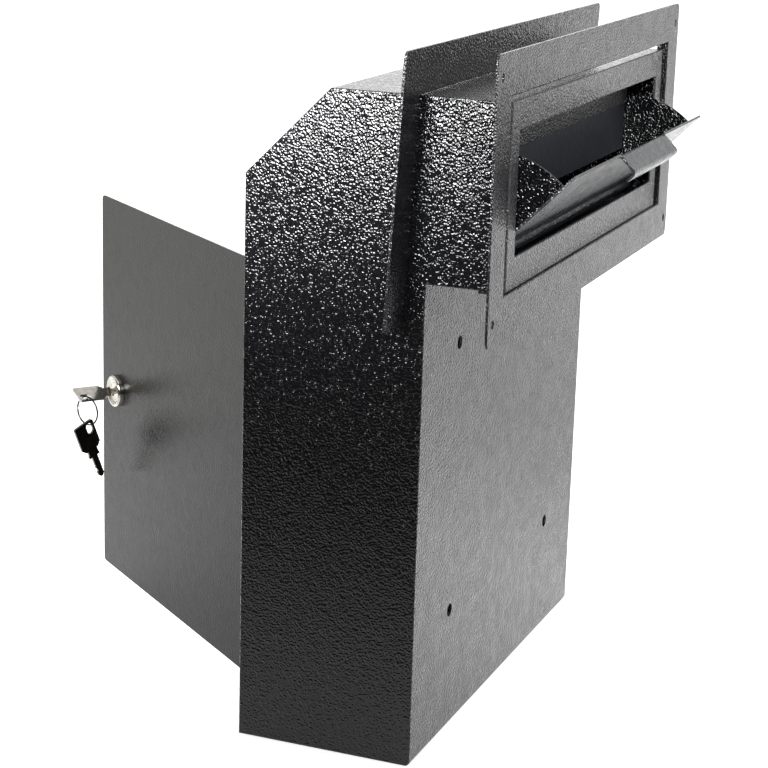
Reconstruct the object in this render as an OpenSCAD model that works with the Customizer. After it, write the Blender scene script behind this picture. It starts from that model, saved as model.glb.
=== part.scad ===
// Through-the-wall key drop box: a steel cabinet with a neck that passes through the wall,
// a tip-out hopper at the neck's end, a flange on each side of the wall and a locked door
// at the back. Millimetres. X runs across, -Y is the hopper side, +Z is up, and the origin
// is the middle of the cabinet's underside. The pieces stand as on the photographed box:
// hopper tipped out, door ajar, one key in the lock and one on its ring.

/* [Cabinet] */
// Width over the side plates
body_w = 318; // [260:1:400]
// Depth from the front sheet to the back sheet
body_d = 114; // [95:1:170]
// Height of the cabinet
body_h = 406; // [380:1:520]
// Thickness of the folded steel sheet
sheet = 1.5; // [1.2:0.1:2]
// Size of the 45 degree slope at the top of the back
slope = 53; // [30:1:70]
// Outside radius of the folds
fold_r = 3; // [2.5:0.1:4]

/* [Neck] */
// How far the neck stands out in front of the cabinet
neck_len = 48; // [40:1:120]
// Height of the neck
neck_h = 107.5; // [100:0.5:125]

/* [Wall fixing holes] */
// Distance between the two columns of holes
fix_pitch_x = 192; // [120:1:230]
// Height of the lower row
fix_low_z = 79.5; // [40:0.5:100]
// Distance of the upper row below the neck
fix_drop = 47.5; // [30:0.5:80]
// Diameter of each hole
fix_hole_d = 8; // [5:0.5:10]

/* [Inner flange] */
// How far its front face lies behind the cabinet's front
inner_set_back = 9.5; // [5:0.5:20]
// Width of the flange round the cabinet
inner_width = 26.5; // [20:0.5:40]
// How far the ears reach below the neck
inner_drop = 26; // [20:0.5:40]
// Angle that it leans forward at the top
inner_lean = 3; // [0:0.5:4]
// Distance of the ear holes from the ear's outer edge
ear_hole_edge = 6.7; // [5:0.1:10]
// Height of the ear holes above the ear's end
ear_hole_rise = 10.5; // [8:0.5:15]

/* [Outer flange] */
// Width of its border at the sides
outer_side = 24.9; // [20:0.1:40]
// Width of its border at the top
outer_top = 24.9; // [20:0.1:40]
// Width of its border at the bottom
outer_bottom = 25.5; // [20:0.1:40]
// Free space between the window and the neck's sides
side_play = 7.6; // [3:0.1:12]
// Free space between the window and the neck's top
top_play = 4; // [2:0.1:8]
// Radius of both flanges' corners
flange_corner_r = 4.5; // [2:0.1:8]
// Depth of the lips turned back round the window
window_lip = 6; // [4:0.5:12]
// Depth of the lower lip, which lies under the neck
lower_lip = 16; // [14:0.5:22]
// Diameter of the screw holes in both flanges
flange_hole_d = 5; // [3:0.1:6]
// Distance of the screw holes from the flange's sides
flange_hole_side = 8; // [7:0.5:13]
// Distance of the screw holes from the flange's top and bottom
flange_hole_end = 13; // [7:0.5:15]

/* [Hopper] */
// Width of the neck's face at each side of the opening
hopper_border = 13.7; // [12:0.1:40]
// Height of the opening's sill above the neck's underside
hopper_sill = 18.5; // [17:0.5:22]
// Height of the neck's face above the opening
hopper_head = 17; // [14:0.5:25]
// Depth of the pivot behind the neck's face
pivot_depth = 16.35; // [14:0.05:22]
// Drop of the pivot below the sill
pivot_drop = 2; // [0:0.5:3]
// Gap over the closed plate
plate_gap = 4.2; // [3.5:0.1:8]
// How far the cheeks end below the plate's top
cheek_step = 8.3; // [5:0.1:14]
// Clearance at each side of the hopper
hopper_play = 1.3; // [0.8:0.1:3]
// Angle that the hopper tips out
tip_angle = 45; // [35:1:50]
// Width of the finger pull
pull_w = 100; // [60:1:160]
// How far the closed pull stays inside the neck's face
pull_set_in = 2.5; // [1:0.1:4]
// Height of the pull's turned-down edge
pull_edge = 8; // [6:0.5:12]
// Diameter of the pivot rod
rod_d = 5; // [4:0.1:6]
// Free height under the baffle, above the pivot
baffle_rise = 24; // [15:0.5:35]

/* [Access door] */
// Width of the back at each side of the door opening
door_border = 29; // [25:0.5:60]
// Height of the door opening's sill
door_sill = 20; // [15:0.5:30]
// Height of the back above the door opening
door_head = 60; // [25:0.5:80]
// Gap round the door
door_gap = 1.2; // [0.8:0.1:2]
// Thickness of the door
door_t = 2; // [1.5:0.1:2.5]
// Angle at which the door stands open
door_open = 51.5; // [0:0.5:110]
// How far the stop strips reach into the opening
stop_reach = 7; // [5:0.5:9]

/* [Hinge] */
// Number of knuckles
knuckles = 10; // [6:1:14]
// Distance of the hinge's ends from the door's ends
hinge_end = 10.3; // [5:0.1:30]
// Outside diameter of the knuckles
knuckle_d = 5; // [4.8:0.1:5.4]
// Diameter of the hinge pin
hinge_pin_d = 2.5; // [2:0.1:2.6]
// Width of each leaf from the pin
leaf_w = 14; // [10:0.5:18]
// Thickness of the leaves
leaf_t = 1.2; // [0.9:0.1:1.3]

/* [Lock] */
// Distance of the lock's axis from the door's free edge
lock_inset = 28; // [24:0.1:32]
// Diameter of the threaded barrel
barrel_d = 19; // [18:0.1:20]
// Width of the barrel over its two flats
barrel_flats = 16; // [15:0.1:17]
// Length of the barrel behind the door's face
barrel_len = 18; // [17:0.5:20]
// Diameter of the bezel
bezel_d = 22.6; // [22:0.1:25]
// How far the bezel stands out
bezel_h = 4.6; // [4:0.1:5.5]
// Diameter of the turning plug
plug_d = 12; // [11:0.1:12.5]
// How far the cam reaches behind the door stop
cam_hold = 11.3; // [8:0.1:13]
// Width of the cam
cam_w = 15; // [13:0.5:16]
// Angle of the key's flat from level
key_turn = 17; // [0:1:25]

/* [Keys] */
// Thickness of a key
key_t = 1.8; // [1.5:0.1:2]
// Length of a key's bow
bow_len = 21.5; // [20:0.5:23]
// Width of a key's bow
bow_w = 16.5; // [15.5:0.5:18]
// Length of the shoulder between bow and blade
shoulder_len = 5.5; // [5:0.5:7]
// Length of the blade
blade_len = 17; // [15:0.5:17]
// Width of the blade
blade_w = 4.8; // [4.4:0.1:5.5]
// How far the key stands short of home
key_out = 2; // [0.5:0.5:6]
// Radius of the split ring at its wire's middle
ring_r = 10; // [9.5:0.1:12]
// Thickness of the ring's wire
ring_wire = 1.2; // [0.8:0.1:1.3]

/* [Hidden] */

$fn = 40;
cut = 1;
gap = 0.3;

half_w = body_w / 2;
wall_x = half_w - sheet;
front_y = -body_d / 2;
back_y = body_d / 2;
neck_z = body_h - neck_h;
face_y = front_y - neck_len;

// Paint and metal colours
paint_dark = [0.16, 0.16, 0.17];
paint_mid = [0.36, 0.36, 0.36];
paint_light = [0.55, 0.55, 0.56];
zinc = [0.72, 0.72, 0.70];
nickel = [0.82, 0.81, 0.76];
dark_nickel = [0.15, 0.15, 0.15];

// Folded sheet in profile. One face follows the points p and the metal lies to their
// left. Each inner point becomes a fold, whose radius on that face is given in r.
fold_steps = 6;
function unit(v) = v / norm(v);
function left_of(v) = [-v.y, v.x];
function spin(v, a) = [v.x * cos(a) - v.y * sin(a), v.x * sin(a) + v.y * cos(a)];
function turn_at(a, b, c) =
    let (u = unit(b - a), v = unit(c - b)) atan2(u.x * v.y - u.y * v.x, u * v);
function fold(a, b, c, r, inward) =
    let (
        turn = turn_at(a, b, c),
        u = unit(b - a),
        start = b - u * r * tan(abs(turn) / 2),
        centre = start + left_of(u) * sign(turn) * r,
        spoke = unit(start - centre),
        reach = r - sign(turn) * inward
    )
    [for (k = [0 : fold_steps]) centre + spin(spoke, turn * k / fold_steps) * reach];
function face_line(p, r, inward) =
    let (last = len(p) - 1)
    concat(
        [p[0] + left_of(unit(p[1] - p[0])) * inward],
        last < 2 ? [] : [for (i = [1 : last - 1])
            each fold(p[i - 1], p[i], p[i + 1], r[i - 1], inward)],
        [p[last] + left_of(unit(p[last] - p[last - 1])) * inward]
    );
function backwards(v) = [for (i = [len(v) - 1 : -1 : 0]) v[i]];
function profile(p, r, t) = concat(face_line(p, r, 0), backwards(face_line(p, r, t)));

// Extrudes a shape drawn in Y and Z along X
module across(x0, x1) {
    translate([x0, 0, 0]) rotate([90, 0, 90]) linear_extrude(x1 - x0) children();
}

// Extrudes a shape drawn in X and Z along Y
module facing(y0, y1) {
    translate([0, y1, 0]) rotate([90, 0, 0]) linear_extrude(y1 - y0) children();
}

// Rectangle with round corners
module soft_rect(low, high, r) {
    translate([low.x + r, low.y]) square([high.x - low.x - 2 * r, high.y - low.y]);
    translate([low.x, low.y + r]) square([high.x - low.x, high.y - low.y - 2 * r]);
    for (x = [low.x + r, high.x - r], z = [low.y + r, high.y - r])
        translate([x, z]) circle(r);
}

// Equal discs in rows and columns
module spots(xs, zs, d) {
    for (x = xs, z = zs) translate([x, z]) circle(d = d);
}

// Cabinet shell: one sheet makes back, slope, top and the neck's top, and another makes
// the neck's floor, the front and the bottom. The side plates close it.
back_path = [
    [back_y, 0], [back_y, body_h - slope], [back_y - slope, body_h],
    [face_y + sheet, body_h]
];
back_folds = [fold_r, fold_r];
front_path = [
    [face_y + sheet, neck_z], [front_y, neck_z], [front_y, 0], [back_y - sheet, 0]
];
front_folds = [fold_r - sheet, fold_r];

module side_plate(x0) {
    across(x0, x0 + sheet) polygon(concat(
        face_line(back_path, back_folds, 0), face_line(front_path, front_folds, 0)));
}
module side_left() {
    color(paint_dark) side_plate(-half_w);
}
module side_right() {
    color(paint_dark) side_plate(wall_x);
}

door_x = half_w - door_border;
door_top = body_h - slope - door_head;
door_hole_r = 4;
module top_back_sheet() {
    color(paint_light) difference() {
        across(-wall_x, wall_x) polygon(profile(back_path, back_folds, sheet));
        facing(back_y - sheet - cut, back_y + cut)
            soft_rect([-door_x, door_sill], [door_x, door_top], door_hole_r);
    }
}

fix_x = [-fix_pitch_x / 2, fix_pitch_x / 2];
fix_z = [fix_low_z, neck_z - fix_drop];
trim_x = [-0.36 * body_w, 0, 0.36 * body_w];
trim_y = face_y + sheet + lower_lip / 2;
trim_d = 4;
trim_play = 0.05;
module front_sheet() {
    color(paint_light) difference() {
        across(-wall_x, wall_x) polygon(profile(front_path, front_folds, sheet));
        facing(front_y - cut, front_y + sheet + cut) spots(fix_x, fix_z, fix_hole_d);
        for (x = trim_x) translate([x, trim_y, neck_z - cut])
            cylinder(d = trim_d, h = sheet + 2 * cut);
    }
}

hopper_x = half_w - hopper_border;
hopper_low = neck_z + hopper_sill;
hopper_high = body_h - hopper_head;
hopper_hole_r = 1.5;
module neck_face() {
    color(paint_light) facing(face_y, face_y + sheet) difference() {
        translate([-half_w, neck_z]) square([body_w, neck_h]);
        soft_rect([-hopper_x, hopper_low], [hopper_x, hopper_high], hopper_hole_r);
    }
}

// Inner flange: an upside-down U round the cabinet near the neck. It leans forward about
// its middle height, and its holes run straight along Y all the same.
inner_y = front_y + inner_set_back;
inner_x = half_w + inner_width;
inner_low = neck_z - inner_drop;
inner_high = body_h + inner_width;
inner_mid = (inner_low + inner_high) / 2;
inner_fit = 0.05;
inner_top = inner_mid + (body_h + inner_fit - inner_mid) / cos(inner_lean);
ear_hole_x = inner_x - ear_hole_edge;
ear_hole_z = inner_low + ear_hole_rise;
module inner_flange() {
    color(paint_mid) difference() {
        translate([0, inner_y, inner_mid]) rotate([inner_lean, 0, 0])
            translate([0, 0, -inner_mid]) facing(0, sheet) difference() {
                soft_rect([-inner_x, inner_low], [inner_x, inner_high],
                    flange_corner_r);
                translate([-half_w, inner_low - cut])
                    square([body_w, inner_top - inner_low + cut]);
            }
        facing(front_y - neck_len, back_y)
            spots([-ear_hole_x, ear_hole_x], [ear_hole_z], flange_hole_d);
    }
}

// Outer flange: a trim frame whose window is larger than the neck. Its lower lip lies
// under the neck's floor and is screwed there.
window_x = half_w + side_play;
window_high = body_h + top_play;
outer_x = window_x + outer_side;
outer_low = neck_z - outer_bottom;
outer_high = window_high + outer_top;
outer_hole_x = outer_x - flange_hole_side;
outer_hole_z = [outer_low + flange_hole_end, outer_high - flange_hole_end];
module outer_flange() {
    color(paint_light) difference() {
        union() {
            facing(face_y - sheet, face_y) difference() {
                soft_rect([-outer_x, outer_low], [outer_x, outer_high],
                    flange_corner_r);
                translate([-window_x, neck_z])
                    square([2 * window_x, window_high - neck_z]);
                spots([-outer_hole_x, outer_hole_x], outer_hole_z, flange_hole_d);
            }
            facing(face_y, face_y + window_lip) difference() {
                translate([-window_x - sheet, neck_z - sheet])
                    square([2 * (window_x + sheet), window_high - neck_z + 2 * sheet]);
                translate([-window_x, neck_z])
                    square([2 * window_x, window_high - neck_z]);
            }
            translate([-half_w, face_y, neck_z - sheet])
                cube([body_w, lower_lip, sheet]);
        }
        for (x = trim_x) translate([x, trim_y, neck_z - sheet - cut])
            cylinder(d = trim_d, h = sheet + 2 * cut);
    }
}

// Pan-head screws that hold the outer flange, put in from below
trim_head_d = 7.6;
trim_head_h = 2.2;
trim_end = 3;
module trim_screws() {
    color(zinc) for (x = trim_x) translate([x, trim_y, neck_z - sheet]) {
        translate([0, 0, -trim_head_h]) cylinder(d = trim_head_d, h = trim_head_h);
        cylinder(r = trim_d / 2 - trim_play, h = 2 * sheet + trim_end);
    }
}

// Hopper. Its pieces are drawn closed with the pivot as origin and then tipped out.
pivot_y = face_y + pivot_depth;
pivot_z = hopper_low - pivot_drop;
floor_z = neck_z + sheet;
plate_x = hopper_x - hopper_play;
cheek_x = plate_x - sheet;
plate_len = hopper_high - pivot_z - plate_gap;
cheek_r = plate_len - cheek_step;
pull_depth = pivot_depth - pull_set_in;
sleeve_wall = 1.5;
hub_wall = 4.5;
hub_gap = 1;
sleeve_d = rod_d + 2 * sleeve_wall;
hub_r = rod_d / 2 + hub_wall;
plate_low = hub_r + hub_gap;
rod_play = 0.05;
stop_y = sheet + gap;
baffle_y = stop_y + sheet + gap;

module tipped() {
    translate([0, pivot_y, pivot_z]) rotate([tip_angle, 0, 0]) children();
}
module rod_hole(x, play) {
    translate([-x - cut, 0, 0]) rotate([0, 90, 0])
        cylinder(r = rod_d / 2 + play, h = 2 * (x + cut));
}

pull_path = [
    [sheet, plate_low], [sheet, plate_len], [-pull_depth, plate_len],
    [-pull_depth, plate_len - pull_edge]
];
module hopper_plate() {
    color(paint_light) tipped() difference() {
        union() {
            across(-plate_x, plate_x) translate([0, plate_low])
                square([sheet, plate_len - plate_low - fold_r]);
            for (x = [-plate_x, pull_w / 2])
                across(x, x + plate_x - pull_w / 2)
                translate([0, plate_len - fold_r]) square([sheet, fold_r]);
            across(-pull_w / 2, pull_w / 2)
                polygon(profile(pull_path, [fold_r, fold_r], sheet));
            across(-cheek_x, cheek_x) {
                square([sheet, plate_low]);
                circle(d = sleeve_d);
            }
        }
        rod_hole(cheek_x, rod_play);
    }
}

cheek_lap = 0.4;
cheek_back = baffle_y + sheet + cheek_lap;
module cheek(x0) {
    big = 2 * cheek_r;
    translate([0, pivot_y, pivot_z]) difference() {
        across(x0, x0 + sheet) {
            difference() {
                circle(cheek_r, $fn = 120);
                translate([cheek_back, -big]) square([big, 2 * big]);
                translate([-big, -2 * big]) square([2 * big, 2 * big]);
                rotate(tip_angle) translate([sheet - big, -big]) square([big, 2 * big]);
            }
            circle(hub_r);
        }
        rod_hole(plate_x, rod_play);
    }
}
module hopper_cheek_left() {
    color(paint_dark) cheek(-plate_x);
}
module hopper_cheek_right() {
    color(paint_dark) cheek(cheek_x);
}

// Fixed angle under the neck's top: the closed plate meets its front and the tipped-out
// baffle meets its back
stop_drop = 14;
stop_leg = 14;
stop_gap = 1.5;
stop_low = pivot_z + plate_len - stop_drop;
stop_x = cheek_x - stop_gap;
stop_path = [
    [pivot_y + stop_y + stop_leg, body_h - sheet], [pivot_y + stop_y, body_h - sheet],
    [pivot_y + stop_y, stop_low]
];
module stop_angle() {
    color(paint_light) across(-stop_x, stop_x)
        polygon(profile(stop_path, [fold_r], sheet));
}

baffle_lap = 2.5;
baffle_high = stop_low + baffle_lap - pivot_z;
module hopper_baffle() {
    color(paint_dark) across(-cheek_x, cheek_x)
        translate([pivot_y + baffle_y, pivot_z + baffle_rise])
        square([sheet, baffle_high - baffle_rise]);
}

bracket_gap = 0.5;
bracket_half = 7.5;
bracket_foot = 10;
bracket_x = plate_x + bracket_gap;
module pivot_bracket(side) {
    low = side > 0 ? bracket_x : -bracket_x - sheet;
    foot = side > 0 ? bracket_x : -bracket_x - bracket_foot;
    translate([0, pivot_y, 0]) difference() {
        union() {
            across(low, low + sheet) {
                translate([-bracket_half, floor_z])
                    square([2 * bracket_half, pivot_z - floor_z]);
                translate([0, pivot_z]) circle(bracket_half);
            }
            translate([foot, -bracket_half, floor_z])
                cube([bracket_foot, 2 * bracket_half, sheet]);
        }
        translate([0, 0, pivot_z]) rod_hole(bracket_x + sheet, 0);
    }
}
module pivot_bracket_left() {
    color(paint_dark) pivot_bracket(-1);
}
module pivot_bracket_right() {
    color(paint_dark) pivot_bracket(1);
}

rod_end = 3;
rod_x = bracket_x + sheet + rod_end;
module pivot_rod() {
    color(zinc) translate([-rod_x, pivot_y, pivot_z]) rotate([0, 90, 0])
        cylinder(d = rod_d, h = 2 * rod_x);
}
clip_t = 0.8;
clip_rim = 2;
clip_d = rod_d + 2 * clip_rim;
module rod_clips() {
    color(zinc) for (x = [-bracket_x - sheet - clip_t, bracket_x + sheet])
        translate([x, pivot_y, pivot_z]) rotate([0, 90, 0]) difference() {
            cylinder(d = clip_d, h = clip_t);
            translate([0, 0, -cut]) cylinder(d = rod_d, h = clip_t + 2 * cut);
        }
}

// Sloping sheet under the hopper, on which the keys slide into the cabinet
ramp_rise = 8.2;
ramp_gap = 1;
ramp_end = 2;
ramp_lift = 0.1;
ramp_x = cheek_x - stop_gap;
ramp_front = face_y + sheet + ramp_gap;
ramp_path = [
    [front_y - ramp_end, floor_z + sheet + ramp_lift],
    [ramp_front, floor_z + ramp_rise], [ramp_front, floor_z]
];
module chute_ramp() {
    color(paint_dark) across(-ramp_x, ramp_x)
        polygon(profile(ramp_path, [fold_r], sheet));
}

// Access door with its stop strips and hinge. Door pieces are drawn closed and then
// swung open about the hinge pin.
door_face = back_y + door_t - sheet + gap;
door_in = door_face - door_t;
pin_y = door_face - 1.5;
pin_x = -door_x + knuckle_d / 2 + gap;
door_low = door_sill + door_gap;
door_high = door_top - door_gap;
door_near = pin_x + knuckle_d / 2 + gap;
door_far = door_x - door_gap;
door_corner_r = 3;
module swung() {
    translate([pin_x, pin_y, 0]) rotate([0, 0, door_open])
        translate([-pin_x, -pin_y, 0]) children();
}

stop_seat = 12;
module door_stop() {
    back = back_y - sheet;
    color(paint_dark) facing(back - sheet, back) difference() {
        translate([-door_x + stop_seat, door_sill - stop_seat])
            square([2 * door_x, door_top - door_sill + 2 * stop_seat]);
        translate([-door_x, door_sill + stop_reach])
            square([2 * door_x - stop_reach, door_top - door_sill - 2 * stop_reach]);
    }
}

hinge_low = door_low + hinge_end;
pitch = (door_high - door_low - 2 * hinge_end) / knuckles;
knuckle_gap = 0.3;
pin_play = 0.05;
module knuckle_row(first) {
    for (k = [first : 2 : knuckles - 1])
        translate([pin_x, pin_y, hinge_low + k * pitch + knuckle_gap / 2])
        cylinder(d = knuckle_d, h = pitch - knuckle_gap);
}
module notches(first, x0, w) {
    for (k = [first : 2 : knuckles - 1])
        translate([x0, pin_y - knuckle_d, hinge_low + k * pitch - knuckle_gap / 2])
        cube([w, 2 * knuckle_d, pitch + knuckle_gap]);
}
module leaf(first, side, y1, play) {
    clear = knuckle_d / 2 + gap;
    difference() {
        union() {
            difference() {
                translate([side > 0 ? pin_x : pin_x - leaf_w, y1 - leaf_t, hinge_low])
                    cube([leaf_w, leaf_t, knuckles * pitch]);
                notches(1 - first, pin_x - clear, 2 * clear);
            }
            knuckle_row(first);
        }
        translate([pin_x, pin_y, hinge_low - cut])
            cylinder(r = hinge_pin_d / 2 + play, h = knuckles * pitch + 2 * cut);
    }
}
module hinge_frame_leaf() {
    color(zinc) leaf(0, -1, back_y - sheet, 0);
}
module hinge_door_leaf() {
    color(zinc) swung() leaf(1, 1, door_in, pin_play);
}
module hinge_pin() {
    color(zinc) translate([pin_x, pin_y, hinge_low - 0.5])
        cylinder(d = hinge_pin_d, h = knuckles * pitch + 1);
}

// Cam lock. Its pieces are drawn with the lock's axis along Y and the door's outer face
// at zero.
lock_x = door_far - lock_inset;
lock_z = (door_low + door_high) / 2;
module at_lock() {
    swung() translate([lock_x, door_face, lock_z]) children();
}
module along_axis(y0, y1) {
    translate([0, y0, 0]) rotate([-90, 0, 0]) linear_extrude(y1 - y0) children();
}
module flatted(d, flats) {
    intersection() {
        circle(d = d);
        square([flats, d + cut], center = true);
    }
}

barrel_play = 0.1;
module door_panel() {
    color(paint_mid) difference() {
        swung() facing(door_in, door_face)
            soft_rect([door_near, door_low], [door_far, door_high], door_corner_r);
        at_lock() along_axis(-door_t - cut, cut)
            flatted(barrel_d + barrel_play, barrel_flats + barrel_play);
    }
}

plug_play = 0.05;
plug_face = 3;
bezel_r = bezel_d / 2;
bezel_profile = [
    [0, 0], [bezel_r, 0], [bezel_r, bezel_h - 1.4], [bezel_r - 0.4, bezel_h - 0.5],
    [bezel_r - 1.1, bezel_h], [bezel_r - 1.9, bezel_h - 0.1],
    [bezel_r - 3, bezel_h - 0.9], [bezel_r - 4.1, plug_face], [0, plug_face]
];
module lock_housing() {
    color(nickel) at_lock() difference() {
        union() {
            rotate([-90, 0, 0]) rotate_extrude($fn = 64) polygon(bezel_profile);
            along_axis(-barrel_len, 0) flatted(barrel_d, barrel_flats);
        }
        along_axis(-barrel_len - cut, plug_face + cut) circle(plug_d / 2 + plug_play);
    }
}

nut_flats = 24;
nut_t = 4;
module lock_nut() {
    color(nickel) at_lock() along_axis(-door_t - nut_t, -door_t) difference() {
        circle(d = nut_flats / cos(30), $fn = 6);
        circle(d = barrel_d);
    }
}

drive = 7;
cam_t = 2;
screw_d = 4;
screw_in = 3;
module turned() {
    at_lock() rotate([0, -key_turn, 0]) children();
}
module lock_plug() {
    color(nickel) turned() difference() {
        union() {
            along_axis(-barrel_len, plug_face) circle(d = plug_d);
            along_axis(-barrel_len - cam_t, -barrel_len) square(drive, center = true);
        }
        along_axis(plug_face - blade_len - 0.4, plug_face + cut)
            square([blade_w + 0.3, key_t + 0.3], center = true);
        along_axis(-barrel_len - cam_t - cut, -barrel_len - cam_t + screw_in)
            circle(d = screw_d);
    }
}

cam_gap = 1.2;
cam_len = lock_inset + door_gap - stop_reach + cam_hold;
cam_face = back_y - 2 * sheet - cam_gap - door_face;
cam_path = [
    [cam_face, -cam_len], [cam_face, -16.5], [-barrel_len, -10.5], [-barrel_len, cam_w]
];
module lock_cam() {
    color(zinc) turned() difference() {
        intersection() {
            across(-cam_w / 2, cam_w / 2) polygon(profile(cam_path, [3, 1], cam_t));
            along_axis(-barrel_len - 2 * cam_t, 0) {
                circle(d = cam_w);
                translate([-cam_w / 2, 0]) square([cam_w, cam_len]);
            }
        }
        along_axis(-barrel_len - cam_t - cut, -barrel_len + cut)
            square(drive + 0.1, center = true);
    }
}

screw_head_d = 10;
screw_head_h = 2.4;
module cam_screw() {
    color(zinc) turned() {
        along_axis(-barrel_len - cam_t - screw_head_h, -barrel_len - cam_t)
            circle(d = screw_head_d);
        along_axis(-barrel_len - cam_t, -barrel_len - cam_t + screw_in)
            circle(d = screw_d);
    }
}

// Keys. A key is drawn flat with its tip at the origin and its bow towards +Y. Its slot
// is near one corner of the bow.
slot_w = 5;
slot_len = 8;
slot_end = 1.8;
slot_side = 2;
collar_w = 9.2;
collar_len = 1.8;
key_neck_w = 8.2;
tip_w = 1.6;
cut_deep = 0.9;
cut_slight = 0.6;
bow_bevel = 3;
bow_corner = 1.2;
key_len = blade_len + shoulder_len + bow_len;
bow_x = bow_w / 2;
slot_off = bow_x - slot_side - slot_w / 2;
slot_y = key_len - slot_end - slot_w / 2;
blade_x = blade_w / 2;
blade_shape = [
    [-blade_x, 2], [-tip_w / 2, 0], [tip_w / 2, 0], [blade_x, 2], [blade_x, 4],
    [blade_x - cut_deep, 5], [blade_x - cut_deep, 6.5], [blade_x, 7.6], [blade_x, 8.6],
    [blade_x - cut_slight, 9.4], [blade_x, 10.4], [blade_x, blade_len],
    [-blade_x, blade_len]
];
bow_shape = [
    [-bow_x + bow_bevel, 0], [bow_x - bow_bevel, 0], [bow_x, bow_bevel],
    [bow_x, bow_len - bow_corner], [bow_x - bow_corner, bow_len],
    [-bow_x + bow_corner, bow_len], [-bow_x, bow_len - bow_corner], [-bow_x, bow_bevel]
];
module key_flat() {
    difference() {
        union() {
            polygon(blade_shape);
            translate([-collar_w / 2, blade_len]) square([collar_w, collar_len]);
            translate([-key_neck_w / 2, blade_len]) square([key_neck_w, shoulder_len]);
            translate([0, key_len - bow_len]) polygon(bow_shape);
        }
        for (y = [slot_y, slot_y - slot_len + slot_w])
            translate([-slot_off, y]) circle(d = slot_w);
        translate([-slot_off - slot_w / 2, slot_y - slot_len + slot_w])
            square([slot_w, slot_len - slot_w]);
    }
}
module key_solid() {
    difference() {
        translate([0, 0, -key_t / 2]) linear_extrude(key_t) key_flat();
        translate([-0.9, -cut, key_t / 2 - 0.5]) cube([1, blade_len + cut, 1]);
    }
}

key_tip = plug_face + key_out - blade_len;
module key() {
    color(nickel) turned() translate([0, key_tip, 0]) key_solid();
}

// The ring passes through the slot of the key in the lock, and the spare key hangs at
// the ring's lowest point.
ring_yaw = 21;
ring_slide = -19;
ring_shift = 0.5;
ring_lift = (key_t + ring_wire) / 2 - 1.1;
ring_hold = [
    -slot_off * cos(key_turn), key_tip + slot_y - ring_shift,
    ring_lift - slot_off * sin(key_turn)
];
ring_centre = [ring_r * sin(ring_slide), 0, -ring_r * cos(ring_slide)];
module at_ring() {
    at_lock() translate(ring_hold) rotate([0, 0, ring_yaw]) translate(ring_centre)
        children();
}
module key_ring() {
    color(zinc) at_ring() rotate([90, 0, 0]) rotate_extrude($fn = 72) difference() {
        translate([ring_r, 0]) circle(d = ring_wire, $fn = 24);
        translate([ring_r + ring_wire / 4, -0.07]) square([ring_wire, 0.14]);
    }
}

spare_yaw = 15;
spare_lean = 22;
spare_play = 0.3;
spare_hang = slot_w / 2 - ring_wire / 2 - spare_play;
module spare_key() {
    color(dark_nickel) at_ring() translate([0, 0, -ring_r])
        rotate([0, 0, spare_yaw - ring_yaw]) rotate([-spare_lean, 0, 0])
        rotate([0, 0, 90]) rotate([90, 0, 0])
        translate([slot_off, -slot_y - spare_hang, 0]) key_solid();
}

side_left();
side_right();
top_back_sheet();
front_sheet();
neck_face();
inner_flange();
outer_flange();
trim_screws();
chute_ramp();
stop_angle();
pivot_bracket_left();
pivot_bracket_right();
pivot_rod();
rod_clips();
hopper_plate();
hopper_cheek_left();
hopper_cheek_right();
hopper_baffle();
door_stop();
hinge_frame_leaf();
hinge_pin();
hinge_door_leaf();
door_panel();
lock_housing();
lock_nut();
lock_plug();
lock_cam();
cam_screw();
key();
key_ring();
spare_key();
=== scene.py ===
import math
import bmesh
import bpy
from mathutils import Matrix, Vector


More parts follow.
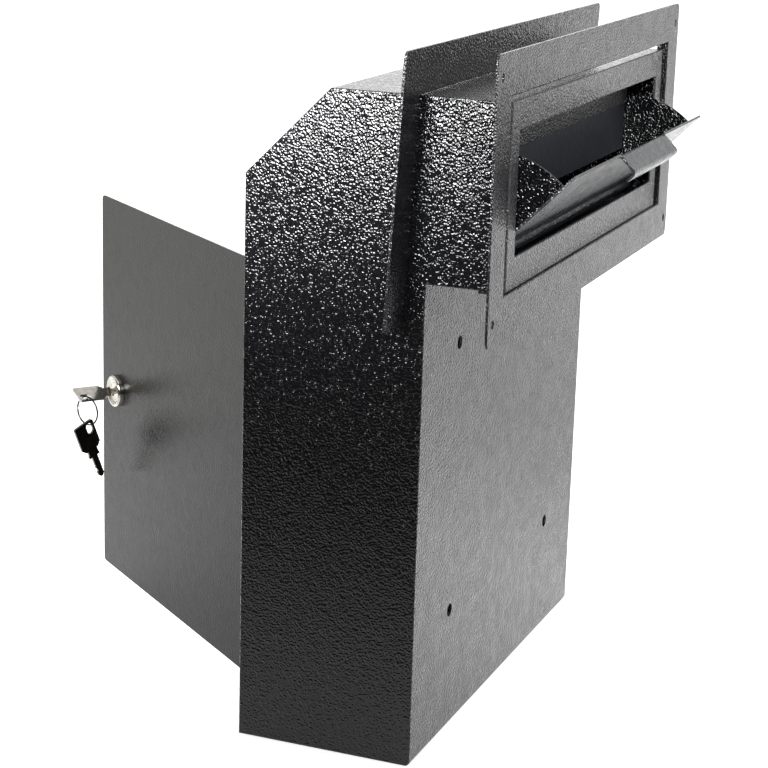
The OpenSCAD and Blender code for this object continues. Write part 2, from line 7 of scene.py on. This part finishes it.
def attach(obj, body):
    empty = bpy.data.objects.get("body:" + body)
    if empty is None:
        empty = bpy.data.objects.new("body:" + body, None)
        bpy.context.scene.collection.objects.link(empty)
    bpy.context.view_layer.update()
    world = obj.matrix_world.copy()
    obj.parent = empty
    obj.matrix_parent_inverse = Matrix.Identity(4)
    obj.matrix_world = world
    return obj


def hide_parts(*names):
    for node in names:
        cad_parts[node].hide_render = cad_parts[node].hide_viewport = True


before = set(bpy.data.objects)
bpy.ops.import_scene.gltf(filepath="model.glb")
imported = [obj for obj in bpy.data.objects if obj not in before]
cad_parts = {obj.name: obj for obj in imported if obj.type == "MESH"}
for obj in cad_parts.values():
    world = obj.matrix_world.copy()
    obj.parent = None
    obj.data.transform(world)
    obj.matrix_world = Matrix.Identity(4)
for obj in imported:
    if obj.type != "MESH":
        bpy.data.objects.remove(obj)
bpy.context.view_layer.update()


# Cabinet sides
# Two flat plates of 1.5 mm steel with the neck's cheeks cut in one piece with them. They are
# welded to the folded sheets along every edge, and the ground welds are painted over, so the
# outer corners are slightly round. The paint is a black hammered enamel, full of dimples.
def hammered_group():
    """Enamel that dried in small hills and dimples with glossy walls."""
    g = bpy.data.node_groups.new("hammered enamel", "ShaderNodeTree")
    for name, kind, value in (
        ("Dimple size", "NodeSocketFloat", 0.0025),
        ("Enamel", "NodeSocketColor", (0.01, 0.01, 0.011, 1)),
        ("Thin enamel", "NodeSocketColor", (0.03, 0.03, 0.032, 1)),
        ("Gloss low", "NodeSocketFloat", 0.16),
        ("Gloss high", "NodeSocketFloat", 0.34),
    ):
        s = g.interface.new_socket(name, in_out="INPUT", socket_type=kind)
        s.default_value = value
    for name, kind in (("Color", "NodeSocketColor"), ("Roughness", "NodeSocketFloat"),
                       ("Height", "NodeSocketFloat")):
        g.interface.new_socket(name, in_out="OUTPUT", socket_type=kind)
    n, link = g.nodes, g.links.new
    gin, gout = n.new("NodeGroupInput"), n.new("NodeGroupOutput")
    co = n.new("ShaderNodeTexCoord")
    per = n.new("ShaderNodeMath"); per.operation = "DIVIDE"; per.inputs[0].default_value = 1.0
    link(gin.outputs["Dimple size"], per.inputs[1])
    hills = n.new("ShaderNodeTexNoise")
    hills.inputs["Detail"].default_value = 0.0
    link(co.outputs["Object"], hills.inputs["Vector"]); link(per.outputs[0], hills.inputs["Scale"])
    slow = n.new("ShaderNodeMath"); slow.operation = "MULTIPLY"; slow.inputs[1].default_value = 0.12
    link(per.outputs[0], slow.inputs[0])
    swell = n.new("ShaderNodeTexNoise"); swell.inputs["Detail"].default_value = 0.5
    link(co.outputs["Object"], swell.inputs["Vector"]); link(slow.outputs[0], swell.inputs["Scale"])
    high = n.new("ShaderNodeMath"); high.operation = "MULTIPLY_ADD"
    link(swell.outputs["Fac"], high.inputs[0]); high.inputs[1].default_value = 0.3
    link(hills.outputs["Fac"], high.inputs[2]); link(high.outputs[0], gout.inputs["Height"])
    tone = n.new("ShaderNodeMix"); tone.data_type = "RGBA"
    low = n.new("ShaderNodeMapRange")
    link(hills.outputs["Fac"], low.inputs["Value"])
    low.inputs["From Min"].default_value = 0.3; low.inputs["From Max"].default_value = 0.7
    link(low.outputs["Result"], tone.inputs["Factor"])
    link(gin.outputs["Enamel"], tone.inputs["A"]); link(gin.outputs["Thin enamel"], tone.inputs["B"])
    link(tone.outputs["Result"], gout.inputs["Color"])
    gl = n.new("ShaderNodeMapRange")
    link(swell.outputs["Fac"], gl.inputs["Value"])
    gl.inputs["From Min"].default_value = 0.3; gl.inputs["From Max"].default_value = 0.7
    link(gin.outputs["Gloss low"], gl.inputs["To Min"])
    link(gin.outputs["Gloss high"], gl.inputs["To Max"])
    link(gl.outputs["Result"], gout.inputs["Roughness"])
    return g


def enamel(name, size, depth, colour, thin, gloss, ior):
    """A paint: dimples of that size and depth in metres, and colours and gloss that vary."""
    m = bpy.data.materials.new(name); m.use_nodes = True
    n, link = m.node_tree.nodes, m.node_tree.links.new
    p = n["Principled BSDF"]
    h = n.new("ShaderNodeGroup")
    h.node_tree = bpy.data.node_groups.get("hammered enamel") or hammered_group()
    h.inputs["Dimple size"].default_value = size
    h.inputs["Enamel"].default_value = (*colour, 1); h.inputs["Thin enamel"].default_value = (*thin, 1)
    h.inputs["Gloss low"].default_value = gloss[0]; h.inputs["Gloss high"].default_value = gloss[1]
    b = n.new("ShaderNodeBump")
    b.inputs["Strength"].default_value = 1.0; b.inputs["Distance"].default_value = depth
    link(h.outputs["Color"], p.inputs["Base Color"]); link(h.outputs["Roughness"], p.inputs["Roughness"])
    link(h.outputs["Height"], b.inputs["Height"]); link(b.outputs["Normal"], p.inputs["Normal"])
    p.inputs["IOR"].default_value = ior
    return m


def soft_edged(node, body, finish, width, which=None, steps=2, folded=None):
    """A merged copy of a solid with its sharp outer edges rounded, which stands in for it."""
    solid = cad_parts[node].data
    bm = bmesh.new()
    at = [bm.verts.new(v.co) for v in solid.vertices]
    for p in solid.polygons:
        bm.faces.new([at[i] for i in p.vertices])
    bmesh.ops.remove_doubles(bm, verts=bm.verts, dist=1e-6)
    bmesh.ops.dissolve_limit(bm, angle_limit=math.radians(0.4), verts=bm.verts, edges=bm.edges)
    bmesh.ops.recalc_face_normals(bm, faces=bm.faces)
    for offset, wanted, rings in ([(*folded, 4)] if folded else []) + [(width, which, steps)]:
        sharp = [e for e in bm.edges if len(e.link_faces) == 2 and e.is_convex
                 and e.calc_face_angle(0) > math.radians(40)
                 and (wanted is None or wanted(*((e.verts[0].co + e.verts[1].co) / 2)))]
        bmesh.ops.bevel(bm, geom=sharp, offset=offset, offset_type="OFFSET", segments=rings,
                        profile=0.5, affect="EDGES", clamp_overlap=True)
    bmesh.ops.recalc_face_normals(bm, faces=bm.faces)
    mesh = bpy.data.meshes.new(node + "_finished"); bm.to_mesh(mesh); bm.free()
    o = bpy.data.objects.new(node + "_finished", mesh)
    bpy.context.collection.objects.link(o)
    mesh.materials.append(finish)
    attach(o, body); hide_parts(node)
    return o


HALF_W, SHEET = 0.159, 0.0015
FRONT_Y, BACK_Y, FACE_Y = -0.057, 0.057, -0.105
side_enamel = enamel("black hammered enamel", 0.0012, 0.0006, (0.002, 0.002, 0.0024),
                     (0.004, 0.004, 0.0048), (0.04, 0.08), 1.4)
for side in ("side_left", "side_right"):
    soft_edged(side, "cabinet", side_enamel, 0.0011,
               lambda x, y, z: abs(x) > HALF_W - 1e-5 and y > FACE_Y + SHEET + 1e-4, 3)


# Folded sheets
# One sheet of 1.5 mm steel makes the back, slope, top and the neck's top, and another makes
# the neck's floor, the front with its fixing holes and the bottom. Both are folded on a press
# brake and take the same enamel as the sides.
sheet_enamel = enamel("folded sheet enamel", 0.0013, 0.0008, (0.008, 0.008, 0.009),
                      (0.014, 0.014, 0.016), (0.12, 0.2), 1.38)
soft_edged("top_back_sheet", "cabinet", sheet_enamel, 0.0003,
           lambda x, y, z: abs(x) < 0.14 and y > 0.05 and z > 0.01)
soft_edged("front_sheet", "cabinet", sheet_enamel, 0.0003,
           lambda x, y, z: abs(x) < 0.1 and y < -0.055 and z > 0.01 and z < 0.29)


# Neck face
# A flat plate welded across the neck's end, with the wide opening of the hopper cut in it. Its
# outer corners are ground round with the welds, and the opening's edges are only broken.
# The face's enamel is a lighter copy of the black sheet enamel: its base colour is painted light for the
# recessed face inside the window.
face_enamel_painted_light = enamel("neck face enamel with painted light", 0.0013, 0.0008, (0.045, 0.045, 0.048),
                     (0.06, 0.06, 0.064), (0.14, 0.22), 1.38)
soft_edged("neck_face", "cabinet", face_enamel_painted_light, 0.0006,
           lambda x, y, z: y < FACE_Y + 1e-5)


# Inner flange
# An upside-down U of the same sheet, welded round the cabinet near the neck. It stands against
# the inside of the wall, and a screw goes through each ear.
soft_edged("inner_flange", "cabinet", sheet_enamel, 0.0004)


# Outer flange
# A loose trim frame round the neck's end. The lips round its window are folded back, so the
# window's edge is round and catches a line of light.
WINDOW_X, WINDOW_LOW, WINDOW_HIGH = 0.1666, 0.2985, 0.41


def window_edge(x, y, z):
    return (y < FACE_Y - SHEET + 1e-5 and abs(x) < WINDOW_X + 1e-4
            and WINDOW_LOW - 1e-4 < z < WINDOW_HIGH + 1e-4)


soft_edged("outer_flange", "cabinet", sheet_enamel, 0.0004,
           lambda x, y, z: x > -0.1905 or z > 0.43 or z < 0.276, folded=(0.0011, window_edge))


# Screws of the outer flange
# Three zinc-plated pan-head screws with a crosshead, put in from below through the flange's
# lower lip and the neck's floor.
def metal_group():
    """Plated metal: a fine grain and cloudy patches."""
    g = bpy.data.node_groups.new("plated metal", "ShaderNodeTree")
    for name, kind, value in (
        ("Grain size", "NodeSocketFloat", 0.0004),
        ("Plating", "NodeSocketColor", (0.7, 0.7, 0.68, 1)),
        ("Cloud", "NodeSocketColor", (0.5, 0.5, 0.5, 1)),
        ("Polish low", "NodeSocketFloat", 0.15),
        ("Polish high", "NodeSocketFloat", 0.4),
    ):
        s = g.interface.new_socket(name, in_out="INPUT", socket_type=kind)
        s.default_value = value
    for name, kind in (("Color", "NodeSocketColor"), ("Roughness", "NodeSocketFloat"),
                       ("Height", "NodeSocketFloat")):
        g.interface.new_socket(name, in_out="OUTPUT", socket_type=kind)
    n, link = g.nodes, g.links.new
    gin, gout = n.new("NodeGroupInput"), n.new("NodeGroupOutput")
    co = n.new("ShaderNodeTexCoord")
    per = n.new("ShaderNodeMath"); per.operation = "DIVIDE"; per.inputs[0].default_value = 1.0
    link(gin.outputs["Grain size"], per.inputs[1])
    fine = n.new("ShaderNodeTexNoise"); fine.inputs["Detail"].default_value = 5.0
    link(co.outputs["Object"], fine.inputs["Vector"]); link(per.outputs[0], fine.inputs["Scale"])
    cloud = n.new("ShaderNodeTexNoise"); cloud.inputs["Detail"].default_value = 3.0
    cloud.inputs["Scale"].default_value = 260.0
    link(co.outputs["Object"], cloud.inputs["Vector"])
    spread = n.new("ShaderNodeMapRange"); link(cloud.outputs["Fac"], spread.inputs["Value"])
    spread.inputs["From Min"].default_value = 0.35; spread.inputs["From Max"].default_value = 0.65
    tone = n.new("ShaderNodeMix"); tone.data_type = "RGBA"
    link(spread.outputs["Result"], tone.inputs["Factor"])
    link(gin.outputs["Plating"], tone.inputs["A"]); link(gin.outputs["Cloud"], tone.inputs["B"])
    link(tone.outputs["Result"], gout.inputs["Color"])
    pol = n.new("ShaderNodeMapRange"); link(fine.outputs["Fac"], pol.inputs["Value"])
    pol.inputs["From Min"].default_value = 0.3; pol.inputs["From Max"].default_value = 0.7
    link(gin.outputs["Polish low"], pol.inputs["To Min"])
    link(gin.outputs["Polish high"], pol.inputs["To Max"])
    link(pol.outputs["Result"], gout.inputs["Roughness"])
    link(fine.outputs["Fac"], gout.inputs["Height"])
    return g


def plated(name, plating, cloud, polish, grain=0.0004, relief=0.00001):
    m = bpy.data.materials.new(name); m.use_nodes = True
    n, link = m.node_tree.nodes, m.node_tree.links.new
    p = n["Principled BSDF"]
    h = n.new("ShaderNodeGroup")
    h.node_tree = bpy.data.node_groups.get("plated metal") or metal_group()
    h.inputs["Grain size"].default_value = grain
    h.inputs["Plating"].default_value = (*plating, 1); h.inputs["Cloud"].default_value = (*cloud, 1)
    h.inputs["Polish low"].default_value = polish[0]; h.inputs["Polish high"].default_value = polish[1]
    b = n.new("ShaderNodeBump"); b.inputs["Distance"].default_value = relief
    link(h.outputs["Color"], p.inputs["Base Color"]); link(h.outputs["Roughness"], p.inputs["Roughness"])
    link(h.outputs["Height"], b.inputs["Height"]); link(b.outputs["Normal"], p.inputs["Normal"])
    p.inputs["Metallic"].default_value = 1.0
    return m


def turned(name, rows, finish, place, around=64, closed=False, shape=None):
    """A piece turned about local Z from rows of (radius, height), then set in place."""
    bm = bmesh.new()
    rings = []
    for r, h in rows:
        if r < 1e-9:
            rings.append([bm.verts.new((0, 0, h))])
            continue
        ring = []
        for k in range(around):
            a = 2 * math.pi * k / around
            x, y, z = r * math.cos(a), r * math.sin(a), h
            if shape:
                x, y, z = shape(x, y, z, a)
            ring.append(bm.verts.new((x, y, z)))
        rings.append(ring)
    pairs = list(zip(rings, rings[1:])) + ([(rings[-1], rings[0])] if closed else [])
    for low, high in pairs:
        for k in range(around):
            j = (k + 1) % around
            quad = [low[k % len(low)], low[j % len(low)], high[j % len(high)], high[k % len(high)]]
            quad = [v for i, v in enumerate(quad) if v not in quad[:i]]
            if len(quad) > 2:
                bm.faces.new(quad)
    bmesh.ops.recalc_face_normals(bm, faces=bm.faces)
    for f in bm.faces:
        f.smooth = True
    mesh = bpy.data.meshes.new(name); bm.to_mesh(mesh); bm.free()
    mesh.transform(place)
    mesh.set_sharp_from_angle(angle=math.radians(32))
    o = bpy.data.objects.new(name, mesh)
    bpy.context.collection.objects.link(o)
    mesh.materials.append(finish)
    return o


def row_tree():
    """Geometry Nodes: the piece repeated along a straight line."""
    t = bpy.data.node_groups.new("pieces in a row", "GeometryNodeTree")
    for name, kind in (("Geometry", "NodeSocketGeometry"), ("Count", "NodeSocketInt"),
                       ("First", "NodeSocketVector"), ("Step", "NodeSocketVector"),
                       ("Finish", "NodeSocketMaterial")):
        t.interface.new_socket(name, in_out="INPUT", socket_type=kind)
    t.interface.new_socket("Geometry", in_out="OUTPUT", socket_type="NodeSocketGeometry")
    n, link = t.nodes, t.links.new
    gin, gout = n.new("NodeGroupInput"), n.new("NodeGroupOutput")
    line = n.new("GeometryNodeMeshLine"); line.mode = "OFFSET"
    link(gin.outputs["Count"], line.inputs["Count"])
    link(gin.outputs["First"], line.inputs["Start Location"])
    link(gin.outputs["Step"], line.inputs["Offset"])
    copies = n.new("GeometryNodeInstanceOnPoints")
    link(line.outputs["Mesh"], copies.inputs["Points"])
    link(gin.outputs["Geometry"], copies.inputs["Instance"])
    real = n.new("GeometryNodeRealizeInstances")
    link(copies.outputs["Instances"], real.inputs["Geometry"])
    coat = n.new("GeometryNodeSetMaterial")
    link(real.outputs["Geometry"], coat.inputs["Geometry"])
    link(gin.outputs["Finish"], coat.inputs["Material"])
    link(coat.outputs["Geometry"], gout.inputs["Geometry"])
    return t


def in_a_row(piece, count, first, step):
    """Repeats a piece along a line and leaves one plain mesh."""
    tree = bpy.data.node_groups.get("pieces in a row") or row_tree()
    row = piece.modifiers.new("row", "NODES"); row.node_group = tree
    values = {"Count": count, "First": first, "Step": step, "Finish": piece.data.materials[0]}
    for s in tree.interface.items_tree:
        if s.in_out == "INPUT" and s.name in values:
            row[s.identifier] = values[s.name]
    seen = bpy.context.evaluated_depsgraph_get()
    mesh = bpy.data.meshes.new_from_object(piece.evaluated_get(seen))
    piece.modifiers.clear()
    piece.data = mesh
    return piece


zinc = plated("zinc plate", (0.62, 0.63, 0.62), (0.45, 0.46, 0.47), (0.25, 0.5))
CROSS = 0.0007


def cross_recess(x, y, z, a):
    """Sinks the middle of the head's face along a cross."""
    r = math.hypot(x, y)
    arm = max(abs(x), abs(y)) < 0.0023 and min(abs(x), abs(y)) < CROSS
    return (x, y, z + 0.0012 * max(0.0, 1 - r / 0.0026)) if arm and z < -0.0015 else (x, y, z)


head = [(0.0, -0.0022)] + [(r * 1e-3, -0.0022) for r in (0.35, 0.6, 0.8, 1.2, 1.6, 2.0, 2.3, 2.6)]
head += [(0.0031, -0.00205), (0.0036, -0.0016), (0.0038, -0.001), (0.0038, 0.0)]
shank = [(0.00195, 0.0)]
for k in range(9):
    shank += [(0.00195 - (0.0004 if k % 2 else 0), 0.00325 + k * 0.0003)]
shank += [(0.0015, 0.0059), (0.0, 0.006)]
screws = turned("flange_screws", head + shank, zinc, Matrix.Identity(4), 32, shape=cross_recess)
in_a_row(screws, 3, (-0.11448, -0.0955, 0.297), (0.11448, 0, 0))
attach(screws, "cabinet"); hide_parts("trim_screws")


# Hopper
# A tipping scoop of the same sheet: a plate with the finger pull folded from its top edge, and
# a quarter-round cheek welded at each end. It turns on a steel rod.
hopper_enamel = enamel("hopper enamel", 0.0013, 0.0008, (0.03, 0.032, 0.036),
                       (0.04, 0.042, 0.046), (0.14, 0.24), 1.5)
soft_edged("hopper_plate", "hopper", hopper_enamel, 0.0004)
for cheek in ("hopper_cheek_left", "hopper_cheek_right"):
    soft_edged(cheek, "hopper", side_enamel, 0.0003)


# Baffle and stop
# The baffle is a smooth strip between the cheeks that closes the way to the chute while the
# hopper is tipped out. The angle above it is welded under the neck's top.
# This enamel's base colour is lighter than the sheet enamel: painted light for the shaded inside of the
# neck, where the baffle, ramp and brackets sit.
smooth_enamel_painted_light = enamel("smooth baffle enamel with painted light", 0.0035, 0.0002, (0.032, 0.036, 0.046),
                       (0.04, 0.044, 0.054), (0.3, 0.4), 1.5)
soft_edged("hopper_baffle", "hopper", smooth_enamel_painted_light, 0.0003)
# The stop angle takes the neck face's lighter enamel: painted light for the strip seen just under the
# opening's top edge.
soft_edged("stop_angle", "cabinet", face_enamel_painted_light, 0.0003)


# Chute and pivot
# Inside the neck a folded ramp leads the keys over the rod, and two foot brackets welded to
# the neck's floor carry the rod, which push-on clips hold at its ends.
# The ramp and brackets take the baffle's lighter enamel, painted light for the shade inside the neck.
for inside in ("chute_ramp", "pivot_bracket_left", "pivot_bracket_right"):
    soft_edged(inside, "cabinet", smooth_enamel_painted_light, 0.0003)
soft_edged("pivot_rod", "cabinet", zinc, 0.0005)
soft_edged("rod_clips", "cabinet", zinc, 0.00015)


# Door frame
# Two angled strips spot-welded behind the door opening, at its foot and head and lock side. The
# door closes against them and the cam catches behind them.
soft_edged("door_stop", "cabinet", sheet_enamel, 0.0003)


# Continuous hinge
# Two zinc-plated leaves, each rolled round a steel pin in every second knuckle. One is riveted
# inside the back, and the other inside the door.
PIN = Vector((-0.1272, 0.0563, 0))
DOOR_TURN = math.radians(51.5)
swing = Matrix.Translation(PIN) @ Matrix.Rotation(DOOR_TURN, 4, "Z") @ Matrix.Translation(-PIN)
KNUCKLE, BORE, LEAF_W = 0.0025, 0.0013, 0.014
HINGE_LOW, PITCH, HINGE_LONG = 0.0315, 0.025, 0.25


def extruded(name, outline, low, high, finish):
    """A closed bar with that outline in plan, between two heights."""
    bm = bmesh.new()
    foot = [bm.verts.new((x, y, low)) for x, y in outline]
    head = [bm.verts.new((x, y, high)) for x, y in outline]
    bm.faces.new(foot); bm.faces.new(head)
    for k in range(len(outline)):
        j = (k + 1) % len(outline)
        bm.faces.new((foot[k], foot[j], head[j], head[k]))
    bmesh.ops.recalc_face_normals(bm, faces=bm.faces)
    rim = [e for e in bm.edges if e.calc_face_angle(0) > math.radians(60)]
    bmesh.ops.bevel(bm, geom=rim, offset=0.00012, segments=2, profile=0.5, affect="EDGES")
    bmesh.ops.triangulate(bm, faces=[f for f in bm.faces if len(f.verts) > 4])
    mesh = bpy.data.meshes.new(name); bm.to_mesh(mesh); bm.free()
    mesh.materials.append(finish)
    o = bpy.data.objects.new(name, mesh)
    bpy.context.collection.objects.link(o)
    return o


def rolled(side, under, over):
    """Outline of a leaf's root rolled nearly once round the pin, with its seam."""
    points = [(-0.0034, under + 1e-5)]
    first = 180 + math.degrees(math.asin(-under / KNUCKLE))
    last = 540 + math.degrees(math.asin(-(over + 0.00035) / KNUCKLE))
    inner = 180 + math.degrees(math.asin(-over / BORE))
    for k in range(49):
        a = math.radians(first + (last - first) * k / 48)
        points.append((KNUCKLE * math.cos(a), KNUCKLE * math.sin(a)))
    for k in range(49):
        a = math.radians(last + (inner - last) * k / 48)
        points.append((BORE * math.cos(a), BORE * math.sin(a)))
    points.append((-0.0034, over - 1e-5))
    return [(PIN.x - side * x, PIN.y + y) for x, y in points]


for leaf, body, side, low, high, first, turn in (
        ("hinge_frame_leaf", "cabinet", -1, 0.0543, 0.0555, 0, Matrix.Identity(4)),
        ("hinge_door_leaf", "door", 1, 0.0546, 0.0558, 1, swing)):
    near, far = PIN.x + side * 0.0029, PIN.x + side * LEAF_W
    plate = extruded(leaf + "_plate", [(near, low), (far, low), (far, high), (near, high)],
                     HINGE_LOW, HINGE_LOW + HINGE_LONG, zinc)
    knuckles = extruded(leaf + "_knuckles", rolled(side, low - PIN.y, high - PIN.y),
                        0.00015, PITCH - 0.00015, zinc)
    in_a_row(knuckles, 5, (0, 0, HINGE_LOW + first * PITCH), (0, 0, 2 * PITCH))
    for o in (plate, knuckles):
        o.data.transform(turn)
        o.data.set_sharp_from_angle(angle=math.radians(30))
        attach(o, body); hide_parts(leaf)
soft_edged("hinge_pin", "cabinet", zinc, 0.0002)


# Access door
# A flat plate of 2 mm steel. Its enamel went on thinner, so its dimples are shallow and the
# surface looks satin.
door_enamel = enamel("satin door enamel", 0.001, 0.00014, (0.008, 0.008, 0.0072),
                     (0.011, 0.011, 0.01), (0.22, 0.28), 1.2)
soft_edged("door_panel", "door", door_enamel, 0.0004)


# Cam lock
# A nickel-plated barrel through the door with a domed bezel, a hexagon nut behind the door,
# and a plug that turns the steel cam.
nickel = plated("nickel plate", (0.52, 0.5, 0.45), (0.4, 0.38, 0.34), (0.08, 0.18))
LOCK = (0.013559425, 0.235668432, 0.1565)
outward = Matrix(((0, math.cos(DOOR_TURN), -math.sin(DOOR_TURN)),
                  (0, math.sin(DOOR_TURN), math.cos(DOOR_TURN)),
                  (1, 0, 0))).to_4x4()
at_lock = Matrix.Translation(LOCK) @ outward
bezel = [(0.00605, 0.00285), (0.0062, 0.003), (0.0066, 0.00296), (0.0072, 0.003), (0.0078, 0.00328),
         (0.0083, 0.0037), (0.00885, 0.00415), (0.0094, 0.00448), (0.0098, 0.0046),
         (0.0102, 0.00458), (0.0106, 0.0044), (0.0109, 0.0041), (0.01115, 0.0037),
         (0.0113, 0.0032), (0.0113, 0.0002), (0.0111, 0.0), (0.0095, 0.0), (0.0095, -0.0006)]
bezel += [(0.0095 - (0.0003 if k % 2 else 0), -0.001 - k * 0.0005) for k in range(33)]
bezel += [(0.0092, -0.018), (0.00625, -0.018), (0.00605, -0.0178)]
housing = turned("lock_barrel", bezel, nickel, at_lock, 120, True,
                 lambda x, y, z, a: (x, max(-0.008, min(0.008, y)) if z < -1e-5 else y, z))
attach(housing, "door"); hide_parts("lock_housing")
soft_edged("lock_nut", "door", nickel, 0.0003)
soft_edged("lock_plug", "lock_core", nickel, 0.00015)
soft_edged("lock_cam", "lock_core", zinc, 0.0002)
soft_edged("cam_screw", "lock_core", zinc, 0.0003)


# Keys and ring
# Two equal flat keys stamped from nickel silver, and a split ring of spring steel. The hanging spare key
# takes a darker copy of the nickel: painted shade and dark reflection on its faces.
nickel_painted_dark = plated("nickel painted dark for shade", (0.2, 0.19, 0.18), (0.1, 0.085, 0.07), (0.1, 0.25))
soft_edged("key", "lock_key", nickel, 0.0003)
RING_R, WIRE_R, WIRE_T, APART, BROKEN = 0.010, 0.00096, 0.0005, 0.00026, 0.00014
bm = bmesh.new()
corners = []
for x, y in ((1, 1), (-1, 1), (-1, -1), (1, -1)):
    a, b = x * WIRE_R / 2, y * WIRE_T / 2
    pair = [(a, b - y * BROKEN), (a - x * BROKEN, b)]
    corners += pair if x * y > 0 else pair[::-1]
last, ends = None, []
for k in range(0, 181):
    turns = 0.015 + 1.97 * k / 180
    over = max(-1.0, min(1.0, (turns - 1) / 0.03))
    a = 2 * math.pi * turns
    loop = [bm.verts.new(((RING_R + u) * math.cos(a), (RING_R + u) * math.sin(a),
                          APART * over + v)) for u, v in corners]
    if last:
        for i in range(8):
            j = (i + 1) % 8
            bm.faces.new((last[i], last[j], loop[j], loop[i]))
    if k in (0, 180):
        ends.append(loop)
    last = loop
for loop in ends:
    bm.faces.new(loop)
bmesh.ops.recalc_face_normals(bm, faces=bm.faces)
mesh = bpy.data.meshes.new("split_ring"); bm.to_mesh(mesh); bm.free()
mesh.transform(Matrix(((0.3007058, 0, 0.953717, -0.010938946), (0.953717, 0, -0.3007058, 0.246689287),
                       (0, 1, 0, 0.14634842), (0, 0, 0, 1))))
for f in mesh.polygons:
    f.use_smooth = True
mesh.set_sharp_from_angle(angle=math.radians(30))
dark_steel = plated("blued spring steel", (0.05, 0.05, 0.052), (0.02, 0.02, 0.022), (0.15, 0.3))
mesh.materials.append(dark_steel)
ring = bpy.data.objects.new("split_ring", mesh)
bpy.context.collection.objects.link(ring)
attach(ring, "ring"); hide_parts("key_ring")
# The spare key's darker nickel is painted shade and dark reflection, not another metal.
soft_edged("spare_key", "spare", nickel_painted_dark, 0.00045)


# Studio
# A floor glowing with painted light under a white surround that is darker behind the viewer, and soft
# light panels: one over the box, one low at its far side, one close at its left shoulder, and a small
# one before the hopper. The floor's glow and base colour change across it, dim and black to the left of
# the box, brightest close beside it and in bands further right.
floor_mesh = bpy.data.meshes.new("floor")
floor_mesh.from_pydata([(-40, -40, 0), (40, -40, 0), (40, 40, 0), (-40, 40, 0)], [],
                       [(0, 1, 2, 3)])
floor = bpy.data.objects.new("floor", floor_mesh)
bpy.context.collection.objects.link(floor)
pale = bpy.data.materials.new("floor with painted glow"); pale.use_nodes = True
p = pale.node_tree.nodes["Principled BSDF"]
n, link = pale.node_tree.nodes, pale.node_tree.links.new
where, part = n.new("ShaderNodeTexCoord"), n.new("ShaderNodeSeparateXYZ")
link(where.outputs["Object"], part.inputs[0])
across = n.new("ShaderNodeMapRange"); link(part.outputs["X"], across.inputs["Value"])
across.inputs["From Min"].default_value = -1.6; across.inputs["From Max"].default_value = 2.4
# Base colour and glow are ramps along X: painted light, the floor black and dim to the left of the box,
# glowing brightest just beside it and in bands further right.
for socket, stops in (("Base Color", ((0.25, 0.0), (0.33, 0.9))),
                      ("Emission Color", ((0.0, 0.02), (0.12, 0.07), (0.28, 0.12), (0.33, 0.5),
                                          (0.42, 1.2), (0.53, 0.3), (0.64, 0.05), (0.76, 0.8)))):
    ramp = n.new("ShaderNodeValToRGB"); link(across.outputs["Result"], ramp.inputs["Fac"])
    while len(ramp.color_ramp.elements) < len(stops):
        ramp.color_ramp.elements.new(0.5)
    for e, (at, v) in zip(ramp.color_ramp.elements, stops):
        e.position, e.color = at, (v, v, v, 1)
    link(ramp.outputs["Color"], p.inputs[socket])
p.inputs["Roughness"].default_value = 0.9; p.inputs["Emission Strength"].default_value = 1.0
floor_mesh.materials.append(pale)

world = bpy.data.worlds.new("white surround"); bpy.context.scene.world = world
world.use_nodes = True
n, link = world.node_tree.nodes, world.node_tree.links.new
facing = n.new("ShaderNodeTexCoord")
toward = n.new("ShaderNodeVectorMath"); toward.operation = "DOT_PRODUCT"
toward.inputs[1].default_value = (0.93, 0.36, 0.0)
link(facing.outputs["Generated"], toward.inputs[0])
fade = n.new("ShaderNodeMapRange"); link(toward.outputs["Value"], fade.inputs["Value"])
fade.inputs["From Min"].default_value = -0.5; fade.inputs["From Max"].default_value = 0.1
fade.inputs["To Min"].default_value = 0.1; fade.inputs["To Max"].default_value = 1.0
link(fade.outputs["Result"], n["Background"].inputs["Strength"])
n["Background"].inputs["Color"].default_value = (1, 1, 1, 1)
bpy.context.scene.view_settings.view_transform = "Standard"


def soft_panel(name, at, to, size, watts, spread=180):
    lamp = bpy.data.lights.new(name, "AREA")
    lamp.shape = "RECTANGLE"; lamp.size, lamp.size_y = size
    lamp.energy = watts; lamp.spread = math.radians(spread)
    o = bpy.data.objects.new(name, lamp)
    bpy.context.collection.objects.link(o)
    o.location = at
    o.rotation_euler = (Vector(to) - Vector(at)).to_track_quat("-Z", "Y").to_euler()
    o.visible_camera = False
    return o


soft_panel("panel over the box", (0.2, -0.3, 1.9), (0.1, -0.1, 0.2), (1.4, 1.4), 20)
soft_panel("panel at the far side", (2.3, 0.85, 0.85), (0, 0, 0.35), (1.0, 1.6), 5)
soft_panel("panel at the left shoulder", (-0.46, 0.22, 0.63), (0.0, 0.22, 0.63), (0.48, 0.5), 18, 80)
soft_panel("panel before the hopper", (-0.9, -0.32, 0.6), (0, -0.12, 0.37), (0.2, 0.2), 0.45, 40)


# Camera
# A long lens from the left of the hopper side and a little above, as the box was seen.
lens = bpy.data.cameras.new("camera")
lens.sensor_width = 36.0
lens.lens = 100.36
lens.clip_end = 100.0
eye = bpy.data.objects.new("camera", lens)
bpy.context.collection.objects.link(eye)
az, el, roll = math.radians(-68.51), math.radians(15.12), math.radians(-1.71)
back = Vector((math.sin(az) * math.cos(el), -math.cos(az) * math.cos(el), math.sin(el)))
right = (-back).cross(Vector((0, 0, 1))).normalized()
down = (-back).cross(right)
side = right * math.cos(roll) + down * math.sin(roll)
under = down * math.cos(roll) - right * math.sin(roll)
eye.matrix_world = Matrix.Translation((-1.2736, -0.47245, 0.5608)) @ Matrix(
    (side, -under, back)).transposed().to_4x4()
bpy.context.scene.camera = eye
